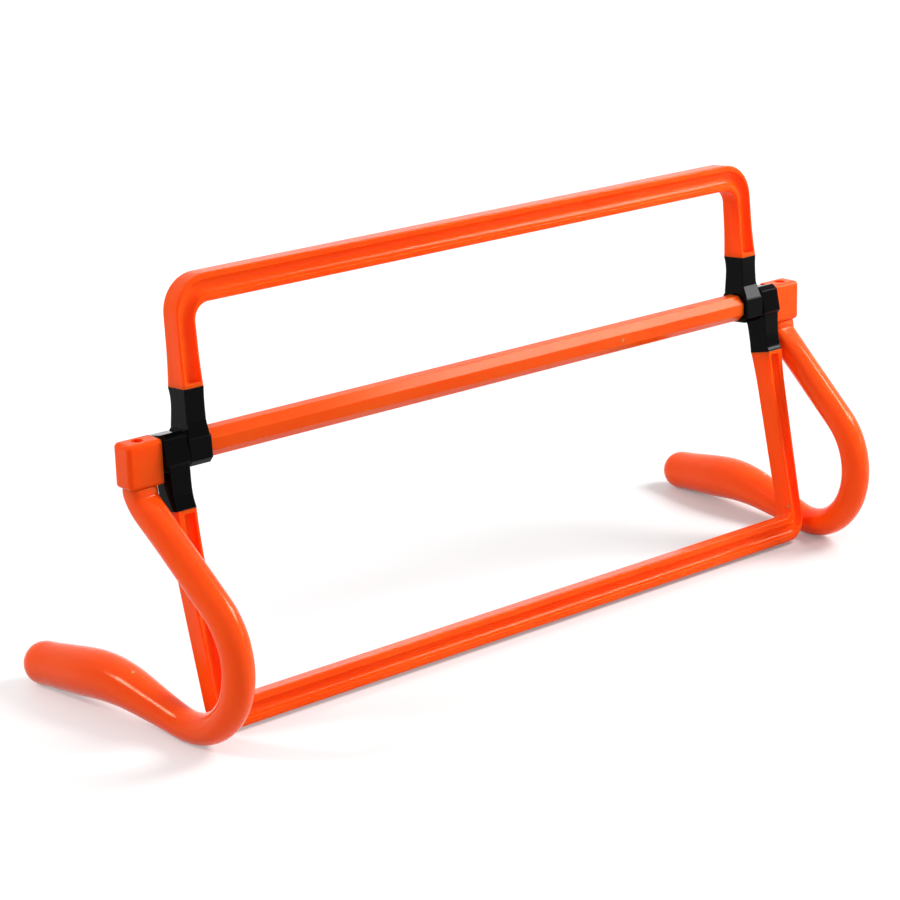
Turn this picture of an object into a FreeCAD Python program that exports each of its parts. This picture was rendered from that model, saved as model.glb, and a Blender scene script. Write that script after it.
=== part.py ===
import FreeCAD, Part
import math
import os
import Sketcher

# Speed hurdle: a crossbar on two S-shaped legs, with a short and a long U-frame that turn on the
# crossbar's ends. X runs along the crossbar, +Y is the back and Z = 0 is the floor.

doc = FreeCAD.newDocument("speed_hurdle")
sheet = doc.addObject("Spreadsheet::Sheet", "Sizes")

SIZES = (
    ("overall_length", 500),
    ("axis_height", 147.5),
    ("front_reach", 78.7),
    ("rear_reach", 105),
    ("running_gap", 0.3),
    ("fit_clearance", 0.05),
    ("socket_clearance", 0.1),
    ("bar_size", 15.2),
    ("bar_bevel", 4.3),
    ("journal_diameter", 10.6),
    ("journal_depth", 32),
    ("block_length", 20.7),
    ("block_depth", 14.4),
    ("block_rise", 9.3),
    ("block_drop", 15),
    ("block_round", 2.6),
    ("peg_diameter", 9),
    ("peg_length", 13),
    ("counterbore_diameter", 6.8),
    ("counterbore_depth", 6),
    ("screw_diameter", 3.5),
    ("screw_head_diameter", 6),
    ("screw_head_height", 2.2),
    ("screw_length", 13),
    ("hinge_length", 14.4),
    ("ring_depth", 19.6),
    ("ring_rise", 9.8),
    ("ring_drop", 9.4),
    ("ring_bevel", 3),
    ("ring_front_bevel", 4.6),
    ("ring_edge", 0.8),
    ("shoulder_reach", 14.5),
    ("shoulder_edge", 0.2),
    ("flare_reach", 9.5),
    ("flare_edge", 0.4),
    ("flare_back", 8.8),
    ("flare_front", 7.2),
    ("waist_reach", 20),
    ("waist_width", 12),
    ("waist_depth", 14.4),
    ("sleeve_reach", 31),
    ("sleeve_width", 12.6),
    ("sleeve_depth", 15.4),
    ("sleeve_bevel", 0.5),
    ("sleeve_inset", 0.8),
    ("tenon_width", 7.4),
    ("tenon_thickness", 8.6),
    ("tenon_length", 12),
    ("frame_depth", 12.8),
    ("frame_leg_width", 12.4),
    ("leg_end_depth", 15.4),
    ("leg_end_run", 24),
    ("frame_edge_round", 0.9),
    ("channel_depth", 3),
    ("channel_lip", 2.2),
    ("short_reach", 88.5),
    ("short_bar", 15.1),
    ("short_leg_taper", 1.4),
    ("short_channel_width", 8.8),
    ("short_corner_outside", 20),
    ("short_corner_inside", 9),
    ("short_lean", 4.5),
    ("long_bar", 14.5),
    ("long_leg_taper", 3.6),
    ("long_channel_width", 7),
    ("long_corner_outside", 13),
    ("long_corner_inside", 4),
    ("long_lean", 12.5),
    ("leg_splay", 5),
    ("leg_neck_run", 34),
    ("hook_radius", 40.8),
    ("hook_half_width", 8.5),
    ("leg_top_half_width", 8.5),
    ("leg_top_half_depth", 6.1),
    ("leg_top_drop", 6.7),
    ("foot_crest_reach", 31.5),
    ("foot_crest_height", 19.4),
    ("foot_crest_run", 20),
    ("foot_half_width", 13.4),
    ("tip_half_width", 12.2),
    ("floor_flat", 0.4),
)

for row, (alias, number) in enumerate(SIZES, start=1):
    cell = "B%d" % row
    sheet.set("A%d" % row, alias)
    sheet.set(cell, str(number))
    sheet.setAlias(cell, alias)
doc.recompute()


def size(alias):
    return float(sheet.get(alias))


# Places that more than one piece needs, as expressions on the sheet.
LEG_SHIFT = "(Sizes.front_reach - Sizes.hook_half_width - Sizes.rear_reach + Sizes.tip_half_width)"
AXIS_Y = (
    "(%s * cos(Sizes.leg_splay * 1 deg) + Sizes.hook_half_width - Sizes.tip_half_width) / 2" % LEG_SHIFT
)
AXIS_Z = "Sizes.axis_height"
BLOCK_INNER = "(Sizes.overall_length / 2 - Sizes.block_length)"
BLOCK_CENTRE = "(Sizes.overall_length / 2 - Sizes.block_length / 2)"
LONG_RING = "(%s - Sizes.running_gap - Sizes.hinge_length / 2)" % BLOCK_INNER
SHORT_RING = "(%s - Sizes.running_gap * 2 - Sizes.hinge_length * 3 / 2)" % BLOCK_INNER
BAR_HALF = "(%s - Sizes.running_gap * 3 - Sizes.hinge_length * 2)" % BLOCK_INNER
LONG_REACH = (
    "((Sizes.axis_height - Sizes.frame_depth / 2 * sin(Sizes.long_lean * 1 deg))"
    " / cos(Sizes.long_lean * 1 deg))"
)


def plane(body, role):
    for feature in body.Origin.OriginFeatures:
        if feature.Role == role:
            return feature
    raise RuntimeError("no plane " + role)


def new_body(label):
    body = doc.addObject("PartDesign::Body", label)
    body.Label = label
    return body


def new_sketch(body, name, role, offset=None):
    sketch = body.newObject("Sketcher::SketchObject", name)
    sketch.AttachmentSupport = [(plane(body, role), "")]
    sketch.MapMode = "FlatFace"
    if offset is not None:
        sketch.setExpression("AttachmentOffset.Base.z", offset)
    doc.recompute()
    return sketch


def number_of(sketch, expression):
    value = sketch.evalExpression(expression)
    return float(getattr(value, "Value", value))


def fix_point(sketch, geometry, point, across, along):
    """Hold one point at two expressions, measured from the sketch's origin."""
    for kind, expression in (("DistanceX", across), ("DistanceY", along)):
        value = number_of(sketch, expression)
        if value < 0:
            index = sketch.addConstraint(Sketcher.Constraint(kind, geometry, point, -1, 1, -value))
            sketch.setExpression("Constraints[%d]" % index, "-(%s)" % expression)
        else:
            index = sketch.addConstraint(Sketcher.Constraint(kind, -1, 1, geometry, point, value))
            sketch.setExpression("Constraints[%d]" % index, expression)


def add_polygon(sketch, corners):
    """Closed polygon whose corners are pairs of expressions."""
    points = []
    for across, along in corners:
        points.append(FreeCAD.Vector(number_of(sketch, across), number_of(sketch, along), 0))
    first = sketch.GeometryCount
    count = len(points)
    for index in range(count):
        line = Part.LineSegment(points[index], points[(index + 1) % count])
        sketch.addGeometry(line, False)
    for index in range(count):
        after = first + (index + 1) % count
        sketch.addConstraint(Sketcher.Constraint("Coincident", first + index, 2, after, 1))
    for index, (across, along) in enumerate(corners):
        fix_point(sketch, first + index, 1, across, along)


def add_circle(sketch, across, along, diameter):
    centre = FreeCAD.Vector(number_of(sketch, across), number_of(sketch, along), 0)
    radius = number_of(sketch, diameter) / 2
    index = sketch.addGeometry(Part.Circle(centre, FreeCAD.Vector(0, 0, 1), radius), False)
    fix_point(sketch, index, 3, across, along)
    row = sketch.addConstraint(Sketcher.Constraint("Diameter", index, radius * 2))
    sketch.setExpression("Constraints[%d]" % row, diameter)


def bevelled(centre, width, depth, bevel):
    """Corners of a rectangle with cut corners, centred at (centre, 0)."""
    wide = "(%s) / 2" % width
    deep = "(%s) / 2" % depth
    corners = []
    for sign_x, sign_y, order in ((1, -1, 0), (1, 1, 1), (-1, 1, 0), (-1, -1, 1)):
        side = ("%s + %d * (%s)" % (centre, sign_x, wide), "%d * (%s - %s)" % (sign_y, deep, bevel))
        end = ("%s + %d * (%s - %s)" % (centre, sign_x, wide, bevel), "%d * (%s)" % (sign_y, deep))
        corners.extend((end, side) if order == 0 else (side, end))
    return corners


def straight(centre, width, depth):
    """Left, right, front and back sides of a rectangle centred at (centre, 0)."""
    return (
        "%s - %s / 2" % (centre, width),
        "%s + %s / 2" % (centre, width),
        "-%s / 2" % depth,
        "%s / 2" % depth,
    )


def cut_corners(left, right, front, back):
    """Corners of a rectangle between four sides, each corner cut by the sleeve's bevel."""
    low, high = (left, right) if number_of(sheet, left) < number_of(sheet, right) else (right, left)
    bevel = "Sizes.sleeve_bevel"
    return (
        ("%s + %s" % (low, bevel), front),
        ("%s - %s" % (high, bevel), front),
        (high, "%s + %s" % (front, bevel)),
        (high, "%s - %s" % (back, bevel)),
        ("%s - %s" % (high, bevel), back),
        ("%s + %s" % (low, bevel), back),
        (low, "%s - %s" % (back, bevel)),
        (low, "%s + %s" % (front, bevel)),
    )


def feature(body, kind, name, profile, length=None, reverse=False, symmetric=False, through=False):
    item = body.newObject("PartDesign::" + kind, name)
    item.Profile = profile
    if through:
        item.Type = "ThroughAll"
    if length is not None:
        item.setExpression("Length", length)
    item.Reversed = reverse
    if symmetric:
        item.SideType = "Symmetric"
    profile.Visibility = False
    doc.recompute()
    body.Tip = item
    return item


def round_edges(body, name, chosen, radius):
    """Fillet the edges of the body's tip that the given test accepts."""
    base = body.Tip
    names = []
    for index, edge in enumerate(base.Shape.Edges, start=1):
        if chosen(edge):
            names.append("Edge%d" % index)
    fillet = body.newObject("PartDesign::Fillet", name)
    fillet.Base = (base, names)
    fillet.setExpression("Radius", radius)
    doc.recompute()
    body.Tip = fillet
    return fillet


def near(first, second):
    return math.isclose(first, second, abs_tol=size("fit_clearance") / 10)


# Crossbar: an eight-sided tube between the two inner hinge rings.
crossbar = new_body("crossbar")
section = new_sketch(crossbar, "crossbar_section", "YZ_Plane")
add_polygon(section, bevelled("0", "Sizes.bar_size", "Sizes.bar_size", "Sizes.bar_bevel"))
add_circle(section, "0", "0", "Sizes.journal_diameter + Sizes.fit_clearance * 2")
feature(crossbar, "Pad", "crossbar_pad", section, "2 * " + BAR_HALF, symmetric=True)
crossbar.setExpression("Placement.Base.y", AXIS_Y)
crossbar.setExpression("Placement.Base.z", AXIS_Z)


def make_block(label, turn):
    """End block with the journal that the hinge rings turn on, a leg socket and a screw hole."""
    body = new_body(label)
    outline = new_sketch(body, label + "_outline", "XY_Plane", "-Sizes.block_drop")
    inner = BLOCK_INNER
    outer = "Sizes.overall_length / 2"
    half = "Sizes.block_depth / 2"
    add_polygon(outline, (
        (inner, "-" + half),
        (outer, "-" + half),
        (outer, half),
        (inner, half),
    ))
    feature(body, "Pad", label + "_pad", outline, "Sizes.block_rise + Sizes.block_drop")
    face = size("overall_length") / 2 - size("block_length")

    def outside(edge):
        box = edge.BoundBox
        return not (near(box.XMin, face) and near(box.XMax, face))

    round_edges(body, label + "_round", outside, "Sizes.block_round")
    journal = new_sketch(body, label + "_journal", "YZ_Plane", inner)
    add_circle(journal, "0", "0", "Sizes.journal_diameter")
    reach = "Sizes.running_gap * 3 + Sizes.hinge_length * 2 + Sizes.journal_depth"
    feature(body, "Pad", label + "_journal_pad", journal, reach, reverse=True)
    socket = new_sketch(body, label + "_socket", "XY_Plane", "-Sizes.block_drop")
    add_circle(socket, BLOCK_CENTRE, "0", "Sizes.peg_diameter + Sizes.fit_clearance * 2")
    feature(body, "Pocket", label + "_socket_cut", socket, "Sizes.peg_length", reverse=True)
    sink = new_sketch(body, label + "_sink", "XY_Plane", "Sizes.block_rise")
    add_circle(sink, BLOCK_CENTRE, "0", "Sizes.counterbore_diameter")
    feature(body, "Pocket", label + "_sink_cut", sink, "Sizes.counterbore_depth")
    hole = new_sketch(body, label + "_hole", "XY_Plane", "Sizes.block_rise")
    add_circle(hole, BLOCK_CENTRE, "0", "Sizes.screw_diameter + Sizes.fit_clearance * 2")
    feature(body, "Pocket", label + "_hole_cut", hole, "Sizes.block_rise + Sizes.block_drop")
    body.Placement.Rotation = FreeCAD.Rotation(FreeCAD.Vector(0, 0, 1), turn)
    body.setExpression("Placement.Base.y", AXIS_Y)
    body.setExpression("Placement.Base.z", AXIS_Z)
    return body


def make_hinge(label, ring, side, angle):
    """Black hinge piece: a ring on the journal and a waisted sleeve that takes a frame's end."""
    body = new_body(label)
    outline = new_sketch(body, label + "_outline", "YZ_Plane")
    half = "Sizes.ring_depth / 2"
    bevel = "Sizes.ring_bevel"
    front = "Sizes.ring_front_bevel"
    add_polygon(outline, (
        ("-(%s) + %s" % (half, bevel), "-Sizes.ring_drop"),
        ("%s - %s" % (half, bevel), "-Sizes.ring_drop"),
        (half, "-Sizes.ring_drop + " + bevel),
        (half, "Sizes.ring_rise - " + bevel),
        ("%s - %s" % (half, bevel), "Sizes.ring_rise"),
        ("-(%s) + %s" % (half, front), "Sizes.ring_rise"),
        ("-(%s)" % half, "Sizes.ring_rise - " + front),
        ("-(%s)" % half, "-Sizes.ring_drop + " + bevel),
    ))
    feature(body, "Pad", label + "_ring", outline, "Sizes.hinge_length", symmetric=True)
    half_length = size("hinge_length") / 2

    def on_side(edge):
        box = edge.BoundBox
        return near(box.XMin, box.XMax) and near(abs(box.XMin), half_length)

    round_edges(body, label + "_ring_round", on_side, "Sizes.ring_edge")
    inset = "%d * Sizes.sleeve_inset" % -side
    outer = "%d * (Sizes.sleeve_width / 2 - Sizes.sleeve_inset)" % side
    inner = "%d * (Sizes.flare_edge - Sizes.hinge_length / 2)" % side
    flare = (inner, outer, "-Sizes.flare_front", "Sizes.flare_back")
    steps = (
        ("0", flare),
        ("Sizes.flare_reach", flare),
        ("Sizes.waist_reach", straight(inset, "Sizes.waist_width", "Sizes.waist_depth")),
        ("Sizes.sleeve_reach", straight(inset, "Sizes.sleeve_width", "Sizes.sleeve_depth")),
    )
    sections = []
    for number, (height, sides) in enumerate(steps):
        sketch = new_sketch(body, "%s_section_%d" % (label, number), "XY_Plane", height)
        add_polygon(sketch, cut_corners(*sides))
        sections.append(sketch)
    loft = body.newObject("PartDesign::AdditiveLoft", label + "_sleeve")
    loft.Profile = sections[0]
    loft.Sections = sections[1:]
    doc.recompute()
    body.Tip = loft
    ring_inner = "%d * (Sizes.ring_edge - Sizes.hinge_length / 2)" % side
    ring_outer = "%d * (Sizes.hinge_length / 2 - Sizes.ring_edge)" % side
    sleeve_outer = "%d * (Sizes.sleeve_width / 2 - Sizes.sleeve_inset - Sizes.flare_edge)" % side
    slope = []
    for name, height, outer_side, depth in (
            ("_slope_foot", "Sizes.ring_rise - " + front, ring_outer, "(%s - Sizes.shoulder_edge)" % half),
            ("_slope_head", "Sizes.shoulder_reach", sleeve_outer, "(Sizes.flare_front - Sizes.flare_edge)")):
        sketch = new_sketch(body, label + name, "XY_Plane", height)
        add_polygon(sketch, (
            (ring_inner, "-" + depth),
            (outer_side, "-" + depth),
            (outer_side, "0"),
            (ring_inner, "0"),
        ))
        slope.append(sketch)
    shoulder = body.newObject("PartDesign::AdditiveLoft", label + "_shoulder")
    shoulder.Profile = slope[0]
    shoulder.Sections = slope[1:]
    doc.recompute()
    body.Tip = shoulder
    bore = new_sketch(body, label + "_bore", "YZ_Plane")
    add_circle(bore, "0", "0", "Sizes.journal_diameter + Sizes.fit_clearance * 2")
    feature(body, "Pocket", label + "_bore_cut", bore, "Sizes.hinge_length * 2", symmetric=True)
    socket = new_sketch(body, label + "_socket", "XY_Plane", "Sizes.sleeve_reach")
    add_polygon(socket, bevelled(
        inset,
        "Sizes.tenon_width + Sizes.socket_clearance * 2",
        "Sizes.tenon_thickness + Sizes.socket_clearance * 2",
        "Sizes.socket_clearance",
    ))
    deep = "Sizes.tenon_length + Sizes.socket_clearance"
    feature(body, "Pocket", label + "_socket_cut", socket, deep)
    body.Placement.Rotation = FreeCAD.Rotation(FreeCAD.Vector(1, 0, 0), 1)
    body.setExpression("Placement.Rotation.Angle", angle)
    body.setExpression("Placement.Base.x", "%d * %s" % (side, ring))
    body.setExpression("Placement.Base.y", AXIS_Y)
    body.setExpression("Placement.Base.z", AXIS_Z)
    return body


def thin_face(body, name, sign, reach):
    """Cut one face of a frame down to its depth, with a curve out to the thicker leg ends."""
    cut = new_sketch(body, name, "YZ_Plane")
    foot = "Sizes.sleeve_reach"
    bend = "(Sizes.sleeve_reach + Sizes.leg_end_run)"
    beyond = "(%s + Sizes.frame_depth)" % reach
    thin = "%d * Sizes.frame_depth / 2" % sign
    thick = "%d * Sizes.leg_end_depth / 2" % sign
    clear = "%d * Sizes.leg_end_depth" % sign
    corners = ((thin, bend), (thin, beyond), (clear, beyond), (clear, foot), (thick, foot))
    points = [FreeCAD.Vector(number_of(cut, y), number_of(cut, z), 0) for y, z in corners]
    for first, second in zip(points, points[1:]):
        cut.addGeometry(Part.LineSegment(first, second), False)
    run = size("leg_end_run")
    out = (size("leg_end_depth") - size("frame_depth")) / 2
    radius = (run ** 2 + out ** 2) / (2 * out)
    turn = math.asin(run / radius)
    middle = FreeCAD.Vector(points[0].x + sign * radius, points[0].y, 0)
    circle = Part.Circle(middle, FreeCAD.Vector(0, 0, 1), radius)
    if sign > 0:
        cut.addGeometry(Part.ArcOfCircle(circle, math.pi, math.pi + turn), False)
    else:
        cut.addGeometry(Part.ArcOfCircle(circle, -turn, 0), False)
    for index in range(3):
        cut.addConstraint(Sketcher.Constraint("Coincident", index, 2, index + 1, 1))
    if sign > 0:
        cut.addConstraint(Sketcher.Constraint("Tangent", 4, 1, 0, 1))
        cut.addConstraint(Sketcher.Constraint("Coincident", 4, 2, 3, 2))
    else:
        cut.addConstraint(Sketcher.Constraint("Tangent", 4, 2, 0, 1))
        cut.addConstraint(Sketcher.Constraint("Coincident", 4, 1, 3, 2))
    for index, (y, z) in enumerate(corners[:-1]):
        fix_point(cut, index, 1, y, z)
    fix_point(cut, 3, 2, *corners[-1])
    feature(body, "Pocket", name + "_cut", cut, "Sizes.overall_length", symmetric=True)


def make_frame(label, ring, reach, bar, taper, hollow, corner_outside, corner_inside, angle):
    """U-frame, drawn upright about the crossbar's axis, with a hollow along both faces."""
    body = new_body(label)
    centre = "(%s - Sizes.sleeve_inset)" % ring
    inner = "(%s - Sizes.frame_leg_width / 2)" % centre
    outer = "(%s + Sizes.frame_leg_width / 2)" % centre
    outer_top = "(%s - %s)" % (outer, taper)
    foot = "Sizes.sleeve_reach"
    under = "(%s - %s)" % (reach, bar)
    outline = new_sketch(body, label + "_outline", "XZ_Plane")
    add_polygon(outline, (
        (outer, foot),
        (outer_top, reach),
        ("-" + outer_top, reach),
        ("-" + outer, foot),
        ("-" + inner, foot),
        ("-" + inner, under),
        (inner, under),
        (inner, foot),
    ))
    feature(body, "Pad", label + "_pad", outline, "Sizes.leg_end_depth", symmetric=True)
    for face, sign in (("front", -1), ("back", 1)):
        thin_face(body, "%s_%s_face" % (label, face), sign, reach)
    top = number_of(outline, reach)
    below = number_of(outline, under)

    def across(edge, height):
        box = edge.BoundBox
        return near(box.ZMin, box.ZMax) and near(box.ZMin, height) and near(box.XMin, box.XMax)

    round_edges(body, label + "_corner_outside", lambda edge: across(edge, top), corner_outside)
    round_edges(body, label + "_corner_inside", lambda edge: across(edge, below), corner_inside)
    half = size("frame_depth") / 2
    low = size("sleeve_reach")
    bend_top = low + size("leg_end_run")

    def on_face(edge):
        box = edge.BoundBox
        if near(box.ZMax, low) or (near(box.ZMin, bend_top) and near(box.ZMax, bend_top)):
            return False
        near_side = min(abs(box.YMin), abs(box.YMax))
        return box.YMin * box.YMax > 0 and near(near_side, half)

    round_edges(body, label + "_edges", on_face, "Sizes.frame_edge_round")

    path = new_sketch(body, label + "_path", "XZ_Plane")
    line_x = "(%s + (Sizes.frame_leg_width - %s / 2) / 2)" % (inner, taper)
    line_z = "(%s - %s / 2)" % (reach, bar)
    start = "(Sizes.sleeve_reach + Sizes.channel_lip)"
    bend = "((%s + %s) / 2)" % (corner_outside, corner_inside)
    x_value = number_of(path, line_x)
    z_value = number_of(path, line_z)
    low_value = number_of(path, start)
    bend_value = number_of(path, bend)
    normal = FreeCAD.Vector(0, 0, 1)
    corner_x = x_value - bend_value
    corner_z = z_value - bend_value
    path.addGeometry(Part.LineSegment(
        FreeCAD.Vector(x_value, low_value, 0), FreeCAD.Vector(x_value, corner_z, 0)), False)
    path.addGeometry(Part.ArcOfCircle(
        Part.Circle(FreeCAD.Vector(corner_x, corner_z, 0), normal, bend_value),
        0, math.pi / 2), False)
    path.addGeometry(Part.LineSegment(
        FreeCAD.Vector(corner_x, z_value, 0), FreeCAD.Vector(-corner_x, z_value, 0)), False)
    path.addGeometry(Part.ArcOfCircle(
        Part.Circle(FreeCAD.Vector(-corner_x, corner_z, 0), normal, bend_value),
        math.pi / 2, math.pi), False)
    path.addGeometry(Part.LineSegment(
        FreeCAD.Vector(-x_value, corner_z, 0), FreeCAD.Vector(-x_value, low_value, 0)), False)
    for one, one_end, two, two_end in ((0, 2, 1, 1), (1, 2, 2, 1), (2, 2, 3, 1), (3, 2, 4, 1)):
        path.addConstraint(Sketcher.Constraint("Tangent", one, one_end, two, two_end))
    path.addConstraint(Sketcher.Constraint("Equal", 1, 3))
    fix_point(path, 0, 1, line_x, start)
    fix_point(path, 4, 2, "-" + line_x, start)
    path.addConstraint(Sketcher.Constraint("Vertical", 0))
    path.addConstraint(Sketcher.Constraint("Vertical", 4))
    row = path.addConstraint(Sketcher.Constraint("DistanceY", -1, 1, 2, 1, z_value))
    path.setExpression("Constraints[%d]" % row, line_z)
    row = path.addConstraint(Sketcher.Constraint("Radius", 1, bend_value))
    path.setExpression("Constraints[%d]" % row, bend)
    doc.recompute()
    spread = "((%s ^ 2 / 4 + Sizes.channel_depth ^ 2) / Sizes.channel_depth)" % hollow
    stand_off = "(Sizes.frame_depth / 2 - Sizes.channel_depth + %s / 2)" % spread
    for face, sign in (("front", "-"), ("back", "")):
        profile = new_sketch(body, "%s_channel_%s" % (label, face), "XY_Plane", start)
        add_circle(profile, line_x, sign + stand_off, spread)
        channel = body.newObject("PartDesign::SubtractivePipe", "%s_%s" % (label, face))
        channel.Profile = profile
        channel.Spine = (path, ["Edge1", "Edge2", "Edge3", "Edge4", "Edge5"])
        doc.recompute()
        body.Tip = channel
    tenons = new_sketch(body, label + "_tenons", "XY_Plane", foot)
    for place in (centre, "-" + centre):
        add_polygon(tenons, bevelled(
            place, "Sizes.tenon_width", "Sizes.tenon_thickness", "Sizes.socket_clearance"))
    feature(body, "Pad", label + "_tenon_pad", tenons, "Sizes.tenon_length", reverse=True)
    body.Placement.Rotation = FreeCAD.Rotation(FreeCAD.Vector(1, 0, 0), 1)
    body.setExpression("Placement.Rotation.Angle", angle)
    body.setExpression("Placement.Base.y", AXIS_Y)
    body.setExpression("Placement.Base.z", AXIS_Z)
    return body


# End blocks, hinge pieces and frames.
blocks = (make_block("end_block_right", 0), make_block("end_block_left", 180))
short_angle = "-Sizes.short_lean"
long_angle = "180 - Sizes.long_lean"
hinges = (
    make_hinge("short_hinge_left", SHORT_RING, -1, short_angle),
    make_hinge("short_hinge_right", SHORT_RING, 1, short_angle),
    make_hinge("long_hinge_left", LONG_RING, -1, long_angle),
    make_hinge("long_hinge_right", LONG_RING, 1, long_angle),
)
frames = (
    make_frame(
        "short_frame", SHORT_RING, "Sizes.short_reach", "Sizes.short_bar",
        "Sizes.short_leg_taper", "Sizes.short_channel_width",
        "Sizes.short_corner_outside", "Sizes.short_corner_inside", short_angle),
    make_frame(
        "long_frame", LONG_RING, LONG_REACH, "Sizes.long_bar",
        "Sizes.long_leg_taper", "Sizes.long_channel_width",
        "Sizes.long_corner_outside", "Sizes.long_corner_inside", long_angle),
)


def leg_runs():
    """Leg centreline from the block to the tip, as straight and bent runs: (length, turn in radians)."""
    radius = size("hook_radius")
    half = size("hook_half_width")
    tip = size("tip_half_width")
    top = size("axis_height") - size("block_drop")
    bend = (0, top - size("leg_top_drop"))
    centre = (radius + half - size("front_reach"), radius + half - size("floor_flat"))
    crest = (size("foot_crest_reach"), size("foot_crest_height"))
    end = (size("rear_reach") - tip, tip - size("floor_flat"))

    def touch(point, turn):
        across = point[0] - centre[0]
        along = point[1] - centre[1]
        return math.atan2(along, across) + turn * math.acos(radius / math.hypot(across, along))

    def on_hook(angle):
        return (centre[0] + radius * math.cos(angle), centre[1] + radius * math.sin(angle))

    enter = touch(bend, 1)
    leave = touch(crest, -1) + 2 * math.pi
    slant = enter + math.pi / 2
    rise = leave + math.pi / 2 - 2 * math.pi
    fall = math.atan2(end[1] - crest[1], end[0] - crest[0])
    top_turn = slant - 3 * math.pi / 2
    crest_turn = fall - rise
    top_run_share = 0.96
    top_run = size("leg_top_drop") * top_run_share
    crest_run = size("foot_crest_run")
    return (
        (size("leg_top_drop") - top_run, 0),
        (top_run / math.tan(abs(top_turn) / 2) * abs(top_turn), top_turn),
        (math.dist(bend, on_hook(enter)) - top_run, 0),
        (radius * (leave - enter), leave - enter),
        (math.dist(on_hook(leave), crest) - crest_run, 0),
        (crest_run / math.tan(abs(crest_turn) / 2) * abs(crest_turn), crest_turn),
        (math.dist(crest, end) - crest_run, 0),
    )


def leg_place(runs, length):
    """Point and heading on the leg's centreline at a length from the block."""
    across = 0
    along = size("axis_height") - size("block_drop")
    heading = -math.pi / 2
    for index, (run, turn) in enumerate(runs):
        part = length if index == len(runs) - 1 else min(length, run)
        swing = turn * part / run
        chord = part if turn == 0 else part * math.sin(swing / 2) / (swing / 2) if swing else 0
        across += chord * math.cos(heading + swing / 2)
        along += chord * math.sin(heading + swing / 2)
        heading += swing
        length -= part
        if length <= 0:
            break
    return across, along, heading


def smooth(share):
    share = min(1, max(0, share))
    return share * share * (3 - 2 * share)


def leg_stations(count=44):
    """Even stations along the leg: (y, z, heading, half width, half depth, squareness)."""
    runs = leg_runs()
    full = sum(run for run, turn in runs)
    hook_end = sum(run for run, turn in runs[:4])
    crest_end = sum(run for run, turn in runs[:6])
    half = size("hook_half_width")
    foot = size("foot_half_width")
    tip = size("tip_half_width")
    stations = []
    for index in range(count + 1):
        length = full * index / count
        neck = 1 - smooth(length / size("leg_neck_run"))
        swell = smooth((length - hook_end + half) / (crest_end - hook_end + half))
        tail = smooth((length - crest_end) / (full - crest_end))
        wide = half + (size("leg_top_half_width") - half) * neck + (foot - half) * swell
        wide += (tip - foot) * tail
        deep = wide - (size("leg_top_half_width") - size("leg_top_half_depth")) * neck
        stations.append(leg_place(runs, length) + (wide, deep, neck))
    across, along, heading = leg_place(runs, full)
    for angle in (20, 38, 54, 68, 80):
        rise = math.radians(angle)
        ahead = tip * math.sin(rise)
        round_half = tip * math.cos(rise)
        stations.append((
            across + ahead * math.cos(heading),
            along + ahead * math.sin(heading),
            heading, round_half, round_half, 0,
        ))
    return stations


def leg_section(station, count=24):
    """One closed outline of the leg, square to its centreline."""
    across, along, heading, wide, deep, square = station
    power = 2 / (2 + 1.4 * square)
    points = []
    for index in range(count):
        angle = 2 * math.pi * index / count
        sideways = math.copysign(abs(math.cos(angle)) ** power, math.cos(angle)) * wide
        outwards = math.copysign(abs(math.sin(angle)) ** power, math.sin(angle)) * deep
        points.append(FreeCAD.Vector(
            sideways,
            across - outwards * math.sin(heading),
            along + outwards * math.cos(heading),
        ))
    steps = [index / count for index in range(count + 1)]
    curve = Part.BSplineCurve()
    curve.interpolate(Points=points, PeriodicFlag=True, Parameters=steps)
    return Part.Wire([curve.toShape()])


def leg_shape():
    sections = [leg_section(station) for station in leg_stations()]
    shape = Part.makeLoft(sections, True, False)
    up = FreeCAD.Vector(0, 0, 1)
    top = size("axis_height") - size("block_drop")
    root = size("leg_top_drop") / 2
    peg = Part.makeCylinder(
        size("peg_diameter") / 2, size("peg_length") + root, FreeCAD.Vector(0, 0, top - root), up)
    shape = shape.fuse(peg)
    head = top + size("peg_length")
    pilot = Part.makeCylinder(
        size("screw_diameter") / 2 + size("fit_clearance"), size("screw_length"),
        FreeCAD.Vector(0, 0, head - size("screw_length")), up)
    shape = shape.cut(pilot)
    wide = size("overall_length")
    floor = Part.makeBox(
        wide, wide, wide, FreeCAD.Vector(-wide / 2, -wide / 2, -wide))
    return shape.cut(floor).removeSplitter()


# Legs: the section changes all along a bent centreline, so they are lofted with Part's functions.
leg_solid = leg_shape().Solids[0]
legs = []
for label, side in (("leg_left", -1), ("leg_right", 1)):
    leg = doc.addObject("Part::Feature", label)
    leg.Label = label
    leg.Shape = leg_solid
    leg.Placement.Rotation = FreeCAD.Rotation(FreeCAD.Vector(0, 0, -side), 1)
    leg.setExpression("Placement.Rotation.Angle", "Sizes.leg_splay")
    leg.setExpression("Placement.Base.x", "%d * %s" % (side, BLOCK_CENTRE))
    leg.setExpression("Placement.Base.y", AXIS_Y)
    legs.append(leg)

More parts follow.
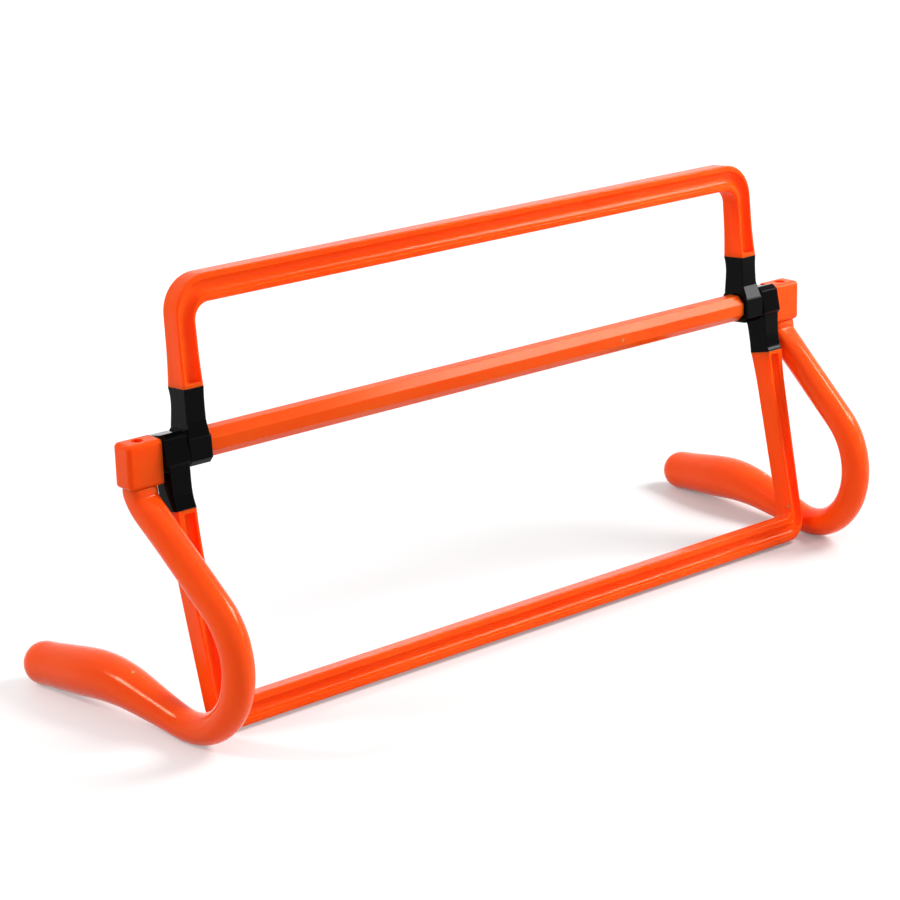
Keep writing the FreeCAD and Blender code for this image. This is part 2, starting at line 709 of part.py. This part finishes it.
# Leg screws: one down each end block's hole into the leg's peg, kept as one node.
screw_parts = []
for name, side in (("left", -1), ("right", 1)):
    shank = doc.addObject("Part::Cylinder", "screw_shank_" + name)
    shank.setExpression("Radius", "Sizes.screw_diameter / 2")
    shank.setExpression("Height", "Sizes.screw_length")
    head = doc.addObject("Part::Cylinder", "screw_head_" + name)
    head.setExpression("Radius", "Sizes.screw_head_diameter / 2")
    head.setExpression("Height", "Sizes.screw_head_height")
    seat = "%s + Sizes.block_rise - Sizes.counterbore_depth" % AXIS_Z
    for item in (shank, head):
        item.setExpression("Placement.Base.x", "%d * %s" % (side, BLOCK_CENTRE))
        item.setExpression("Placement.Base.y", AXIS_Y)
    shank.setExpression("Placement.Base.z", seat + " - Sizes.screw_length")
    head.setExpression("Placement.Base.z", seat)
    screw_parts += [shank, head]
leg_screws = doc.addObject("Part::MultiFuse", "leg_screws")
leg_screws.Shapes = screw_parts
leg_screws.Label = "leg_screws"
doc.recompute()

for item in doc.Objects:
    if "Invalid" in item.State or "Error" in item.State:
        raise RuntimeError("%s is in error: %s" % (item.Label, item.State))

os.makedirs("parts", exist_ok=True)
for item in (crossbar,) + blocks + hinges + frames + tuple(legs) + (leg_screws,):
    if item.Shape.isNull() or not item.Shape.isValid():
        raise RuntimeError("%s has no valid shape" % item.Label)
    item.Shape.exportStep("parts/%s.step" % item.Label)
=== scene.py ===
import math

import bmesh
import bpy
from mathutils import Matrix, Vector


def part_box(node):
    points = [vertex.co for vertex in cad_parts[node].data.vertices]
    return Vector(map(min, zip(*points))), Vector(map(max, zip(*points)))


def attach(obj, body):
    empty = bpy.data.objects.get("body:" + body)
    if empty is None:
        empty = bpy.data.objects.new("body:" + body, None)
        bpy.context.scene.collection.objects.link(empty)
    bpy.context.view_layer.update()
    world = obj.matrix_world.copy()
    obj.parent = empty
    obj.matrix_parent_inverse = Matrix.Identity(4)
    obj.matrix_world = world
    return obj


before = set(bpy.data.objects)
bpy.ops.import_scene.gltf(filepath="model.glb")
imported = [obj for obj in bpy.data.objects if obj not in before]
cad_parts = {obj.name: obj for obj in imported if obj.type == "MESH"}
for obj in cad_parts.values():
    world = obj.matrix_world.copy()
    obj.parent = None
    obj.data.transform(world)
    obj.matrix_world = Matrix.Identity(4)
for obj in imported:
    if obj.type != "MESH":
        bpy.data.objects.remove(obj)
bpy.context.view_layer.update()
scene = bpy.context.scene
scene.view_settings.view_transform = "Standard"

# Crossbar
# One long bevelled bar moulded in glossy orange plastic. Its bored ends slip over the
# blocks' journals. The mould's gate left a small pale crater on its front face.
bar_orange = (0.95, 0.089, 0.006, 1)
bar_deep_orange = (0.94, 0.074, 0.004, 1)
# A paler orange painted on edges and along seams as a highlight.
bar_edge_highlight_orange = (1.0, 0.12, 0.02, 1)
warm_gloss = (1.0, 0.86, 0.52, 1)
plastic_ior = 1.49
glow_spread = (1.0, 0.10, 0.03)
glow_depth = 0.008
edge_samples = 6
edge_turn = (0.995, 0.90)
drift_grain, drift_band = 14, (0.38, 0.68)
scratch_grain, scratch_band = 1500, (0.60, 0.78)
scratch_squeeze = (0.12, 1, 1)
scratch_tilt = (0, 0.35, 0.2)
patch_grain, patch_band = 35, (0.45, 0.75)
peel_grain = 160
seam_height = 0.00006
bar_gate_along = 0.0968
bar_gate_sight = 0.05
gate_radius = 0.0011
gate_height = 0.00025
gate_pale = (1.0, 0.33, 0.16, 1)


def make_moulded_skin():
    """The look of a moulded surface.

    Slow colour drift, fine orange peel, dull rub marks, softened edges and a mould's seam, with a
    painted highlight on the edges and along the seam.
    """
    group = bpy.data.node_groups.new("moulded_skin", "ShaderNodeTree")
    face = group.interface
    for label, kind, value in (
            ("Colour", "NodeSocketColor", (1, 1, 1, 1)),
            ("Deep colour", "NodeSocketColor", (1, 1, 1, 1)),
            ("Edge highlight colour", "NodeSocketColor", (1, 1, 1, 1)),
            ("Edge radius", "NodeSocketFloat", 0.0006),
            ("Gloss", "NodeSocketFloat", 0.14),
            ("Rubbed", "NodeSocketFloat", 0.34),
            ("Peel depth", "NodeSocketFloat", 0.00002),
            ("Seam", "NodeSocketFloat", 0)):
        socket = face.new_socket(label, in_out="INPUT", socket_type=kind)
        socket.default_value = value
    face.new_socket("Colour", in_out="OUTPUT", socket_type="NodeSocketColor")
    face.new_socket("Roughness", in_out="OUTPUT", socket_type="NodeSocketFloat")
    face.new_socket("Normal", in_out="OUTPUT", socket_type="NodeSocketVector")
    nodes, link = group.nodes, group.links.new
    given = nodes.new("NodeGroupInput")
    result = nodes.new("NodeGroupOutput")
    place = nodes.new("ShaderNodeTexCoord").outputs["Object"]

    def noise(grain, detail, source=place):
        texture = nodes.new("ShaderNodeTexNoise")
        texture.inputs["Scale"].default_value = grain
        texture.inputs["Detail"].default_value = detail
        link(source, texture.inputs["Vector"])
        return texture.outputs["Fac"]

    def stretched(source, band):
        ramp = nodes.new("ShaderNodeMapRange")
        ramp.inputs["From Min"].default_value = band[0]
        ramp.inputs["From Max"].default_value = band[1]
        link(source, ramp.inputs["Value"])
        return ramp.outputs["Result"]

    def combined(operation, first, second):
        step = nodes.new("ShaderNodeMath")
        step.operation = operation
        link(first, step.inputs[0])
        link(second, step.inputs[1])
        return step.outputs["Value"]

    def mixed(kind, share, first, second):
        mix = nodes.new("ShaderNodeMix")
        mix.data_type = kind
        link(share, mix.inputs["Factor"])
        link(first, mix.inputs["A"])
        link(second, mix.inputs["B"])
        return mix.outputs["Result"]

    # Softened edges: the normal is rounded over near a corner, and a mask shows where, to paint a
    # highlight there.
    corner = nodes.new("ShaderNodeBevel")
    corner.samples = edge_samples
    link(given.outputs["Edge radius"], corner.inputs["Radius"])
    turn = nodes.new("ShaderNodeVectorMath")
    turn.operation = "DOT_PRODUCT"
    link(corner.outputs["Normal"], turn.inputs[0])
    link(nodes.new("ShaderNodeNewGeometry").outputs["Normal"], turn.inputs[1])
    edge_highlight = stretched(turn.outputs["Value"], edge_turn)

    # Colour: two near tones drift into each other, and a painted highlight makes edges and seams
    # paler.
    drift = stretched(noise(drift_grain, detail=3), drift_band)
    base = mixed("RGBA", drift, given.outputs["Colour"], given.outputs["Deep colour"])
    highlight_mask = combined("MAXIMUM", edge_highlight, given.outputs["Seam"])
    link(mixed("RGBA", highlight_mask, base, given.outputs["Edge highlight colour"]), result.inputs["Colour"])

    # Gloss: fine scratches dull it, in patches.
    squeeze = nodes.new("ShaderNodeMapping")
    squeeze.inputs["Scale"].default_value = scratch_squeeze
    squeeze.inputs["Rotation"].default_value = scratch_tilt
    link(place, squeeze.inputs["Vector"])
    scratches = noise(scratch_grain, detail=2, source=squeeze.outputs["Vector"])
    scratches = stretched(scratches, scratch_band)
    patches = stretched(noise(patch_grain, detail=4), patch_band)
    rub = combined("MULTIPLY", scratches, patches)
    dulled = mixed("FLOAT", rub, given.outputs["Gloss"], given.outputs["Rubbed"])
    link(dulled, result.inputs["Roughness"])

    # Relief: the orange peel of the mould, and a low ridge along the seam.
    peel = nodes.new("ShaderNodeBump")
    peel.inputs["Strength"].default_value = 1
    link(given.outputs["Peel depth"], peel.inputs["Distance"])
    link(noise(peel_grain, detail=2), peel.inputs["Height"])
    link(corner.outputs["Normal"], peel.inputs["Normal"])
    ridge = nodes.new("ShaderNodeBump")
    ridge.inputs["Strength"].default_value = 1
    ridge.inputs["Distance"].default_value = seam_height
    link(given.outputs["Seam"], ridge.inputs["Height"])
    link(peel.outputs["Normal"], ridge.inputs["Normal"])
    link(ridge.outputs["Normal"], result.inputs["Normal"])
    return group


moulded_skin = make_moulded_skin()


def make_plastic(label, colour, deep, edge_highlight, shine=0.08, glow=0.8, tint=warm_gloss, **values):
    """A material of glossy moulded plastic, with the skin's values of this piece."""
    material = bpy.data.materials.new(label)
    material.use_nodes = True
    nodes, link = material.node_tree.nodes, material.node_tree.links.new
    shader = nodes["Principled BSDF"]
    shader.inputs["IOR"].default_value = plastic_ior
    shader.inputs["Specular IOR Level"].default_value = shine
    shader.inputs["Specular Tint"].default_value = tint
    shader.inputs["Subsurface Weight"].default_value = glow
    shader.inputs["Subsurface Radius"].default_value = glow_spread
    shader.inputs["Subsurface Scale"].default_value = glow_depth
    skin = nodes.new("ShaderNodeGroup")
    skin.name = "skin"
    skin.node_tree = moulded_skin
    skin.inputs["Colour"].default_value = colour
    skin.inputs["Deep colour"].default_value = deep
    # The edge colour is a painted highlight on rounded edges and along the seam.
    skin.inputs["Edge highlight colour"].default_value = edge_highlight
    for name, value in values.items():
        skin.inputs[name.replace("_", " ").capitalize()].default_value = value
    link(skin.outputs["Colour"], shader.inputs["Base Color"])
    link(skin.outputs["Roughness"], shader.inputs["Roughness"])
    link(skin.outputs["Normal"], shader.inputs["Normal"])
    return material


def dress(node, material):
    """Gives a CAD node its finish."""
    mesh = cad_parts[node].data
    mesh.materials.clear()
    mesh.materials.append(material)


def seat_on(node, start, way):
    """The point of a CAD node that a line meets, and the surface's normal there."""
    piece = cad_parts[node]
    met, point, normal, _ = piece.ray_cast(Vector(start), Vector(way).normalized())
    if not met:
        raise RuntimeError("nothing of %s lies on that line" % node)
    return point, normal


def turned_mark(label, profile, seat, material, body, steps=28):
    """A small round mark turned from a profile of radius and height, standing on a surface."""
    rings = []
    form = bmesh.new()
    for radius, height in profile:
        ring = []
        for step in range(steps if radius else 1):
            angle = 2 * math.pi * step / steps
            corner = (radius * math.cos(angle), radius * math.sin(angle), height)
            ring.append(form.verts.new(corner))
        rings.append(ring)
    for inner, outer in zip(rings, rings[1:]):
        for step in range(steps):
            after = (step + 1) % steps
            if len(inner) == 1:
                form.faces.new((inner[0], outer[step], outer[after]))
            elif len(outer) == 1:
                form.faces.new((inner[step], outer[0], inner[after]))
            else:
                form.faces.new((inner[step], outer[step], outer[after], inner[after]))
    form.normal_update()
    mesh = bpy.data.meshes.new(label)
    form.to_mesh(mesh)
    form.free()
    mesh.shade_smooth()
    mesh.materials.append(material)
    mark = bpy.data.objects.new(label, mesh)
    point, normal = seat
    turn = Vector((0, 0, 1)).rotation_difference(normal).to_matrix().to_4x4()
    mark.matrix_world = Matrix.Translation(point) @ turn
    scene.collection.objects.link(mark)
    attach(mark, body)


bar_low, bar_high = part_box("crossbar")
bar_middle = (bar_low + bar_high) / 2
crossbar_plastic = make_plastic("crossbar_orange", bar_orange, bar_deep_orange, bar_edge_highlight_orange)
dress("crossbar", crossbar_plastic)
gate_plastic = make_plastic("gate_mark_orange", gate_pale, bar_orange, gate_pale,
                            gloss=0.3, rubbed=0.5)
gate_profile = (
    (0, gate_height * 0.2),
    (gate_radius * 0.35, gate_height * 0.2),
    (gate_radius * 0.6, gate_height),
    (gate_radius * 0.8, gate_height),
    (gate_radius, -gate_height),
    (0, -gate_height),
)
bar_front = (bar_gate_along, bar_low.y - bar_gate_sight, bar_middle.z)
turned_mark("crossbar_gate", gate_profile, seat_on("crossbar", bar_front, (0, 1, 0)),
            gate_plastic, "stand")

# End blocks
# Two rounded orange blocks, one at each end of the crossbar. Each carries its journal into
# the bar, and a counterbored hole on top for the screw that holds the leg.
# A paler orange painted on the blocks' and legs' edges and seams as a highlight.
block_edge_highlight_orange = (1.0, 0.13, 0.025, 1)
block_plastic = make_plastic("end_block_orange", bar_orange, bar_deep_orange, block_edge_highlight_orange,
                             peel_depth=0.00003)
for node in ("end_block_left", "end_block_right"):
    dress(node, block_plastic)

# Legs
# Two S-shaped round legs of the same orange plastic, each a neck, a front bend on the floor and
# a foot to the back. A peg on top goes up into the block. The gate mark is on the foot's crest,
# and the mould's parting line runs along the plane of the bends, a low ridge with a painted
# highlight.
leg_from_middle = 0.23965
leg_splay = math.radians(5)
leg_gate_from_axis = 0.0135
seam_half_width = 0.00025
# The seam mask's strength, for both its ridge and its painted highlight.
seam_and_highlight_strength = 0.7


def make_parting_line_and_highlight():
    """A mask along one plane, where the two halves of a mould met, for a ridge and a painted
    highlight.
    """
    group = bpy.data.node_groups.new("parting_line_and_highlight", "ShaderNodeTree")
    face = group.interface
    face.new_socket("Point", in_out="INPUT", socket_type="NodeSocketVector")
    face.new_socket("Across", in_out="INPUT", socket_type="NodeSocketVector")
    face.new_socket("Half width", in_out="INPUT", socket_type="NodeSocketFloat")
    face.new_socket("Line", in_out="OUTPUT", socket_type="NodeSocketFloat")
    nodes, link = group.nodes, group.links.new
    given = nodes.new("NodeGroupInput")
    result = nodes.new("NodeGroupOutput")
    away = nodes.new("ShaderNodeVectorMath")
    away.operation = "SUBTRACT"
    link(nodes.new("ShaderNodeTexCoord").outputs["Object"], away.inputs[0])
    link(given.outputs["Point"], away.inputs[1])
    across = nodes.new("ShaderNodeVectorMath")
    across.operation = "DOT_PRODUCT"
    link(away.outputs["Vector"], across.inputs[0])
    link(given.outputs["Across"], across.inputs[1])
    distance = nodes.new("ShaderNodeMath")
    distance.operation = "ABSOLUTE"
    link(across.outputs["Value"], distance.inputs[0])
    fade = nodes.new("ShaderNodeMapRange")
    fade.inputs["From Min"].default_value = 0
    fade.inputs["To Min"].default_value = seam_and_highlight_strength
    fade.inputs["To Max"].default_value = 0
    link(distance.outputs["Value"], fade.inputs["Value"])
    link(given.outputs["Half width"], fade.inputs["From Max"])
    link(fade.outputs["Result"], result.inputs["Line"])
    return group


parting_line_and_highlight = make_parting_line_and_highlight()


def part_along(material, point, across):
    """Runs the mould's parting line over a finish, along the plane through a point: a low ridge
    with a painted highlight.
    """
    tree = material.node_tree
    line = tree.nodes.new("ShaderNodeGroup")
    line.node_tree = parting_line_and_highlight
    line.inputs["Point"].default_value = point
    line.inputs["Across"].default_value = across
    line.inputs["Half width"].default_value = seam_half_width
    tree.links.new(line.outputs["Line"], tree.nodes["skin"].inputs["Seam"])


for node, hand in (("leg_left", -1), ("leg_right", 1)):
    leg_plastic = make_plastic(node + "_orange", bar_orange, bar_deep_orange, block_edge_highlight_orange,
                               shine=0.17, gloss=0.14, peel_depth=0.000008)
    part_along(leg_plastic, (hand * leg_from_middle, bar_middle.y, 0),
               (math.cos(leg_splay), -hand * math.sin(leg_splay), 0))
    dress(node, leg_plastic)
    leg_low, leg_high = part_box(node)
    over_foot = ((leg_low.x + leg_high.x) / 2, bar_middle.y + leg_gate_from_axis, leg_high.z / 2)
    turned_mark(node + "_gate", gate_profile, seat_on(node, over_foot, (0, 0, -1)),
                gate_plastic, "stand")

# Leg screws
# One zinc-plated screw per leg, driven down through the block's counterbore into the peg.
# The plating's fine grain changes its tone and its sheen.
zinc_grey = (0.55, 0.55, 0.56, 1)
zinc_dark = (0.34, 0.34, 0.35, 1)
zinc_grain = 900
zinc_bright, zinc_dull = 0.25, 0.5
screw_zinc = bpy.data.materials.new("screw_zinc")
screw_zinc.use_nodes = True
zinc_nodes, zinc_link = screw_zinc.node_tree.nodes, screw_zinc.node_tree.links.new
zinc_shader = zinc_nodes["Principled BSDF"]
zinc_shader.inputs["Metallic"].default_value = 1
plating = zinc_nodes.new("ShaderNodeTexNoise")
plating.inputs["Scale"].default_value = zinc_grain
zinc_link(zinc_nodes.new("ShaderNodeTexCoord").outputs["Object"], plating.inputs["Vector"])
zinc_tone = zinc_nodes.new("ShaderNodeMix")
zinc_tone.data_type = "RGBA"
zinc_tone.inputs["A"].default_value = zinc_grey
zinc_tone.inputs["B"].default_value = zinc_dark
zinc_link(plating.outputs["Fac"], zinc_tone.inputs["Factor"])
zinc_link(zinc_tone.outputs["Result"], zinc_shader.inputs["Base Color"])
zinc_sheen = zinc_nodes.new("ShaderNodeMapRange")
zinc_sheen.inputs["To Min"].default_value = zinc_bright
zinc_sheen.inputs["To Max"].default_value = zinc_dull
zinc_link(plating.outputs["Fac"], zinc_sheen.inputs["Value"])
zinc_link(zinc_sheen.outputs["Result"], zinc_shader.inputs["Roughness"])
dress("leg_screws", screw_zinc)

# Short frame
# A U of orange plastic on the inner pair of hinges, leaning back a little. Both faces have a
# round-bottomed recess between two lips, and the parting line runs round the edge between them,
# a low ridge with a painted highlight.
short_lean = math.radians(4.5)
short_frame_plastic = make_plastic("short_frame_orange", bar_orange, bar_deep_orange,
                                   bar_edge_highlight_orange)
part_along(short_frame_plastic, bar_middle, (0, math.cos(short_lean), -math.sin(short_lean)))
dress("short_frame", short_frame_plastic)

# Long frame
# The same channel bent into the taller U, on the outer pair of hinges. It stands on the floor
# in front. Ejector pins left two round marks in each lower corner, one on the inner side and
# one on the front lip.
long_lean = math.radians(12.5)
long_across = (0, math.cos(long_lean), -math.sin(long_lean))
pin_radius = 0.0010
pin_rim = 0.00012
pin_profile = (
    (0, pin_rim * 0.2),
    (pin_radius * 0.7, pin_rim * 0.2),
    (pin_radius * 0.82, pin_rim),
    (pin_radius * 0.92, pin_rim),
    (pin_radius, -pin_rim),
    (0, -pin_rim),
)
inner_pin_from = (0, -0.0455, 0.0228)
front_pin_aside, front_pin_ahead, front_pin_up = 0.2140, -0.0688, 0.0182
long_frame_plastic = make_plastic("long_frame_orange", bar_orange, bar_deep_orange,
                                  bar_edge_highlight_orange)
# The parting line: a low ridge with a painted highlight along it.
part_along(long_frame_plastic, bar_middle, long_across)
dress("long_frame", long_frame_plastic)
for side, hand in (("left", -1), ("right", 1)):
    front_pin_from = (hand * front_pin_aside, front_pin_ahead, front_pin_up)
    for place, start, way in (
            ("inner", inner_pin_from, (hand, 0, 0)),
            ("front", front_pin_from, long_across)):
        turned_mark("long_frame_pin_%s_%s" % (side, place), pin_profile,
                    seat_on("long_frame", start, way),
                    gate_plastic, "long_frame_body")

# Hinges
# Four black glossy mouldings. Each has a ring that turns on the block's journal and a waisted
# sleeve that takes the tenon of a frame's leg. A cut-off sprue is left under the inner rings.
hinge_black = (0.0014, 0.0014, 0.0015, 1)
hinge_deep_black = (0.001, 0.001, 0.001, 1)
# A lighter black painted on the hinges' edges as a highlight.
hinge_edge_highlight_black = (0.008, 0.008, 0.009, 1)
plain_gloss = (1, 1, 1, 1)
sprue_radius = 0.001
sprue_height = 0.0007
sprue_profile = (
    (0, sprue_height),
    (sprue_radius * 0.6, sprue_height),
    (sprue_radius, sprue_height * 0.4),
    (sprue_radius, -sprue_height),
    (0, -sprue_height),
)
sprue_from_middle = 0.204
sprue_ahead = 0.002
under_the_rings = 0.1
hinge_plastic = make_plastic("hinge_black", hinge_black, hinge_deep_black, hinge_edge_highlight_black,
                             shine=0.045, glow=0, tint=plain_gloss, gloss=0.1, rubbed=0.3,
                             edge_radius=0.0008, peel_depth=0.00003)
for node in ("short_hinge_left", "short_hinge_right", "long_hinge_left", "long_hinge_right"):
    dress(node, hinge_plastic)
for node, hand in (("short_hinge_left", -1), ("short_hinge_right", 1)):
    below = (hand * sprue_from_middle, bar_middle.y - sprue_ahead, under_the_rings)
    turned_mark(node + "_sprue", sprue_profile, seat_on(node, below, (0, 0, 1)),
                hinge_plastic, "short_frame_body")

# Floor
# A plain pale studio floor under the hurdle, with a slight gloss. It keeps the object's soft
# shadow. Where it is looked at or mirrored it is lifted to one even white: the lift makes up
# for the light that falls off with the distance from the lamps.
floor_half = 6.0
floor_pale = (0.58, 0.58, 0.58, 1)
floor_roughness = 0.5
floor_gloss = 0.4
floor_white_level = 1.10
floor_far_level = 0.329
floor_lamp_level = 0.679
floor_lamp_foot = (0.508, -0.290, 0)
floor_lamp_reach = 1.828
floor_lamp_fall = 2.730
floor_mesh = bpy.data.meshes.new("floor")
floor_mesh.from_pydata(
    [(-floor_half, -floor_half, 0), (floor_half, -floor_half, 0),
     (floor_half, floor_half, 0), (-floor_half, floor_half, 0)],
    [], [(0, 1, 2, 3)])
floor = bpy.data.objects.new("floor", floor_mesh)
scene.collection.objects.link(floor)
floor_paint = bpy.data.materials.new("floor_paint")
floor_paint.use_nodes = True
floor_nodes, floor_link = floor_paint.node_tree.nodes, floor_paint.node_tree.links.new
floor_shader = floor_nodes["Principled BSDF"]
floor_shader.inputs["Base Color"].default_value = floor_pale
floor_shader.inputs["Roughness"].default_value = floor_roughness
floor_shader.inputs["Specular IOR Level"].default_value = floor_gloss
floor_shader.inputs["Emission Color"].default_value = (1, 1, 1, 1)


def looked_at(nodes, link):
    """One where the camera, a mirror or glass sees the surface, and zero elsewhere."""
    path = nodes.new("ShaderNodeLightPath")
    total = path.outputs["Is Camera Ray"]
    for ray in ("Is Glossy Ray", "Is Transmission Ray"):
        add = nodes.new("ShaderNodeMath")
        add.operation = "ADD"
        add.use_clamp = True
        link(total, add.inputs[0])
        link(path.outputs[ray], add.inputs[1])
        total = add.outputs["Value"]
    return total


def floor_sum(operation, first, second):
    """One step of arithmetic in the floor's paint, on sockets or plain numbers."""
    step = floor_nodes.new("ShaderNodeMath")
    step.operation = operation
    for socket, value in zip(step.inputs, (first, second)):
        if isinstance(value, (int, float)):
            socket.default_value = value
        else:
            floor_link(value, socket)
    return step.outputs["Value"]


spot = floor_nodes.new("ShaderNodeTexCoord")
reach = floor_nodes.new("ShaderNodeVectorMath")
reach.operation = "DISTANCE"
reach.inputs[1].default_value = floor_lamp_foot
floor_link(spot.outputs["Object"], reach.inputs[0])
share = floor_sum("DIVIDE", reach.outputs["Value"], floor_lamp_reach)
widening = floor_sum("ADD", floor_sum("MULTIPLY", share, share), 1.0)
fall = floor_sum("POWER", widening, -floor_lamp_fall)
lit = floor_sum("ADD", floor_sum("MULTIPLY", fall, floor_lamp_level), floor_far_level)
lift = floor_sum("MAXIMUM", floor_sum("SUBTRACT", floor_white_level, lit), 0.0)
lift = floor_sum("MULTIPLY", lift, looked_at(floor_nodes, floor_link))
floor_link(lift, floor_shader.inputs["Emission Strength"])
floor_mesh.materials.append(floor_paint)

# Light
# A white room with a soft lamp over the right end, one high at the back left, and a small one
# at the front right that only makes highlights. The lamps are set for a plain level, so colours
# come out about as written.
room_light = 0.56
room_white = 0.97
lamps = (
    ("over_right", (0.98, -0.55, 1.05), 25, 0.6),
    ("front_right", (1.25, -0.967, 0.557), 1.7, 0.13),
    ("back_left", (-1.2, 0.58, 1.08), 9, 0.32),
)
world = bpy.data.worlds.new("white_room")
scene.world = world
world.use_nodes = True
room_nodes, room_link = world.node_tree.nodes, world.node_tree.links.new
room = room_nodes["Background"]
room.inputs["Color"].default_value = (1, 1, 1, 1)
room_level = room_nodes.new("ShaderNodeMapRange")
room_level.inputs["To Min"].default_value = room_light
room_level.inputs["To Max"].default_value = room_white
room_link(looked_at(room_nodes, room_link), room_level.inputs["Value"])
room_link(room_level.outputs["Result"], room.inputs["Strength"])
for label, stand_at, watts, across in lamps:
    lamp_data = bpy.data.lights.new(label, "AREA")
    lamp_data.energy = watts
    lamp_data.shape = "RECTANGLE"
    lamp_data.size = across
    lamp_data.size_y = across
    lamp = bpy.data.objects.new(label, lamp_data)
    lamp.location = stand_at
    lamp.rotation_euler = (bar_middle - Vector(stand_at)).to_track_quat("-Z", "Y").to_euler()
    lamp.visible_camera = False
    scene.collection.objects.link(lamp)

# Camera
# It stands in front of the left end, a little above, as in the photograph.
yaw, pitch, roll = math.radians(40.1236), math.radians(-16.9535), math.radians(-1.5773)
camera_from_axis = Vector((-0.9342471, -1.0707829, 0.3858692))
camera_sensor = 36
camera_lens = 104
ahead = Vector((math.sin(yaw) * math.cos(pitch), math.cos(yaw) * math.cos(pitch), math.sin(pitch)))
sideways = Vector((math.cos(yaw), -math.sin(yaw), 0))
upwards = sideways.cross(ahead)
right = sideways * math.cos(roll) + upwards * math.sin(roll)
up = upwards * math.cos(roll) - sideways * math.sin(roll)
camera_data = bpy.data.cameras.new("camera")
camera_data.sensor_width = camera_sensor
camera_data.lens = camera_lens
camera = bpy.data.objects.new("camera", camera_data)
aim = Matrix((right, up, -ahead)).transposed().to_4x4()
camera.matrix_world = Matrix.Translation(bar_middle + camera_from_axis) @ aim
scene.collection.objects.link(camera)
scene.camera = camera
